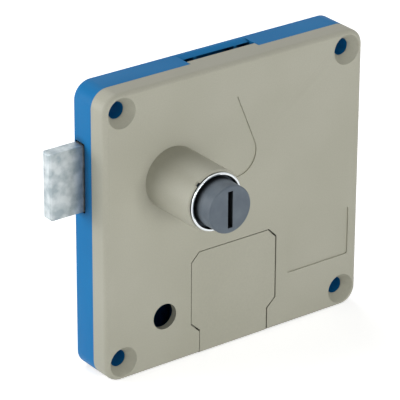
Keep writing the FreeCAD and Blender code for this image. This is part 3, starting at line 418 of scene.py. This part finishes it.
chrome, tree, shader = material("chromed_zinc", Metallic=1.0)
place = add(tree, "ShaderNodeTexCoord").outputs["Object"]
centred = add(tree, "ShaderNodeMapping", {"Location": (-BOSS[0] * MM, 0, -BOSS[1] * MM)}, {"Vector": place})
across = add(tree, "ShaderNodeVectorMath", {"operation": "MULTIPLY", 1: (1, 0, 1)}, {0: centred.outputs[0]})
radius = add(tree, "ShaderNodeVectorMath", {"operation": "LENGTH"}, {0: across.outputs[0]})
parts = add(tree, "ShaderNodeSeparateXYZ", {}, {0: place})
lip = add(tree, "ShaderNodeMapRange", {"From Min": LIP_INNER[0], "From Max": LIP_INNER[1]},
          {"Value": radius.outputs["Value"]})
front = add(tree, "ShaderNodeMapRange", {"From Min": LIP_FRONT[0], "From Max": LIP_FRONT[1]},
            {"Value": parts.outputs["Y"]})
polished_unshaded_lip = add(tree, "ShaderNodeMath", {"operation": "MULTIPLY"}, {0: lip.outputs[0], 1: front.outputs[0]})
rub = add(tree, "ShaderNodeTexNoise", {"Scale": 1 / POLISH_SCRATCH, "Detail": 4.0, "Roughness": 0.65},
          {"Vector": place})
haze = add(tree, "ShaderNodeMapRange",
           {**CLOUD_SPAN, "To Min": POLISH_ROUGHNESS[0], "To Max": POLISH_ROUGHNESS[1]},
           {"Value": rub.outputs["Fac"]})
sheen = add(tree, "ShaderNodeMix", {2: MOUTH_ROUGHNESS}, {0: polished_unshaded_lip.outputs[0], 3: haze.outputs[0]})
# the dark grey inside the lip is painted shade for the mouth; the light grey is the chrome's own colour
plate = add(tree, "ShaderNodeMix", {"data_type": "RGBA", 6: linear("2E3338"), 7: linear("DDE2E5")},
            {0: polished_unshaded_lip.outputs[0]})
tree.links.new(plate.outputs[2], shader.inputs["Base Color"])
tree.links.new(sheen.outputs[0], shader.inputs["Roughness"])
dress("cylinder_housing", chrome, "chromed_housing", RING_EDGE, reshape=ring_form)

# Plug: turned zinc with a dark grey satin coat, and the key slot broached along its axis. It turns in the
# housing. Fine turning rings run round its axis and show faintly through the coat.
COAT_IOR, COAT_GLOSS, PLUG_SHADE_DEPTH = 1.5, 0.3, 3.0
COAT_ROUGHNESS = (0.46, 0.54)
TURNING_RING = 2.2 * MM
TURNING_HEIGHT, TURNING_STRENGTH = 0.01 * MM, 0.12
WEAR_PATCH = 5 * MM
PLUG_HEAD_BACK = -22
PLUG_SKIN = 7.3
PLUG_GROWTH = 0.25
PLUG_EDGE = 0.1


def plug_form(work):
    """The plug's head fills more of the ring's mouth than in the model."""
    for vert in work.verts:
        x, y, z = vert.co / MM
        radius = off_axis(x, z)
        if y < PLUG_HEAD_BACK and radius > PLUG_SKIN:
            spread(vert, radius + PLUG_GROWTH)


plug_coat, tree, shader = material("dark_satin_coat", IOR=COAT_IOR, Specular_IOR_Level=COAT_GLOSS)
place = add(tree, "ShaderNodeTexCoord").outputs["Object"]
centred = add(tree, "ShaderNodeMapping", {"Location": (-BOSS[0] * MM, 0, -BOSS[1] * MM)}, {"Vector": place})
turned = add(tree, "ShaderNodeTexWave",
             {"wave_type": "RINGS", "rings_direction": "Y", "Scale": 1 / TURNING_RING, "Distortion": 0.4,
              "Detail": 1.0}, {"Vector": centred.outputs[0]})
wear = add(tree, "ShaderNodeTexNoise", {"Scale": 1 / WEAR_PATCH, "Detail": 3.0, "Roughness": 0.5},
           {"Vector": place})
tint = add(tree, "ShaderNodeMapRange", CLOUD_SPAN, {"Value": wear.outputs["Fac"]})
coat = add(tree, "ShaderNodeMix", {"data_type": "RGBA", 6: linear("59636D"), 7: linear("636D76")},
           {0: tint.outputs[0]})
satin = add(tree, "ShaderNodeMapRange", {"To Min": COAT_ROUGHNESS[0], "To Max": COAT_ROUGHNESS[1]},
            {"Value": turned.outputs["Fac"]})
ridges = add(tree, "ShaderNodeBump", {"Strength": TURNING_STRENGTH, "Distance": TURNING_HEIGHT},
             {"Height": turned.outputs["Fac"]})
# painted shade darkens the coat in the key slot and the plug's other recesses
tree.links.new(painted_recess_shade(tree, coat.outputs[2], PLUG_SHADE_DEPTH), shader.inputs["Base Color"])
tree.links.new(satin.outputs[0], shader.inputs["Roughness"])
tree.links.new(ridges.outputs[0], shader.inputs["Normal"])
dress("key_plug", plug_coat, "plug_turning", PLUG_EDGE, "plug", plug_form)

# Bolt: a bar of mild steel, zinc plated, that slides in the case. Its passivation is mottled in patches
# of a few millimetres, and a fine bloom varies its gloss.
BLOOM = 0.4 * MM
BLOOM_SWING = 0.08
PATCH_SPAN = {"From Min": 0.38, "From Max": 0.62}
BOLT_EDGE = 0.12


def zinc(name, bright, dull, patch, rough):
    """A metal with cloudy patches, in mm, of two greys, and a fine bloom that varies its roughness."""
    made, tree, shader = material(name, Metallic=1.0)
    place = add(tree, "ShaderNodeTexCoord").outputs["Object"]
    cloud = add(tree, "ShaderNodeTexNoise", {"Scale": 1 / (patch * MM), "Detail": 3.0, "Roughness": 0.45},
                {"Vector": place})
    bloom = add(tree, "ShaderNodeTexNoise", {"Scale": 1 / BLOOM, "Detail": 2.0}, {"Vector": place})
    tint = add(tree, "ShaderNodeMapRange", PATCH_SPAN, {"Value": cloud.outputs["Fac"]})
    plate = add(tree, "ShaderNodeMix", {"data_type": "RGBA", 6: linear(dull), 7: linear(bright)},
                {0: tint.outputs[0]})
    satin = add(tree, "ShaderNodeMapRange",
                {**GRAIN_SPAN, "To Min": rough - BLOOM_SWING, "To Max": rough + BLOOM_SWING},
                {"Value": bloom.outputs["Fac"]})
    tree.links.new(plate.outputs[2], shader.inputs["Base Color"])
    tree.links.new(satin.outputs[0], shader.inputs["Roughness"])
    return made


bolt_zinc = zinc("mottled_zinc_plate", bright="C3CACC", dull="9BA6AB", patch=4.0, rough=0.42)
dress("lock_bolt", bolt_zinc, "bolt_bar", BOLT_EDGE, "bolt")

# Levers, strap, pins, nut and screws: pressed or turned steel with bright zinc plate, nearly even in
# colour. The strap, the guide and the case are screwed, and the levers turn on their pins.
zinc_plate = zinc("bright_zinc_plate", bright="C4CACD", dull="B6BDC1", patch=2.0, rough=0.3)
for name in ("cylinder_nut", "crank_screw", "bolt_strap", "strap_screws", "gate_lever", "gate_pin",
             "coin_lever", "lever_pin", "guide_screws", "coin_peg", "case_screws"):
    dress(name, zinc_plate)

# Crank: die-cast zinc, left as cast, so duller and greyer than the plated steel. It sits on the plug's
# square tail, held by a screw.
cast_zinc = zinc("cast_zinc", bright="A8ACAE", dull="9599A0", patch=1.2, rough=0.5)
dress("drive_crank", cast_zinc)

# Clips and the torsion spring: drawn spring steel with a thin film of oil, darker than the plate. The
# clips are pushed on the pins' ends, and the spring sits round the coin lever's pin.
spring_steel = zinc("spring_steel", bright="939597", dull="7C7E80", patch=1.0, rough=0.36)
for name in ("gate_clip", "lever_clip", "lever_spring"):
    dress(name, spring_steel)
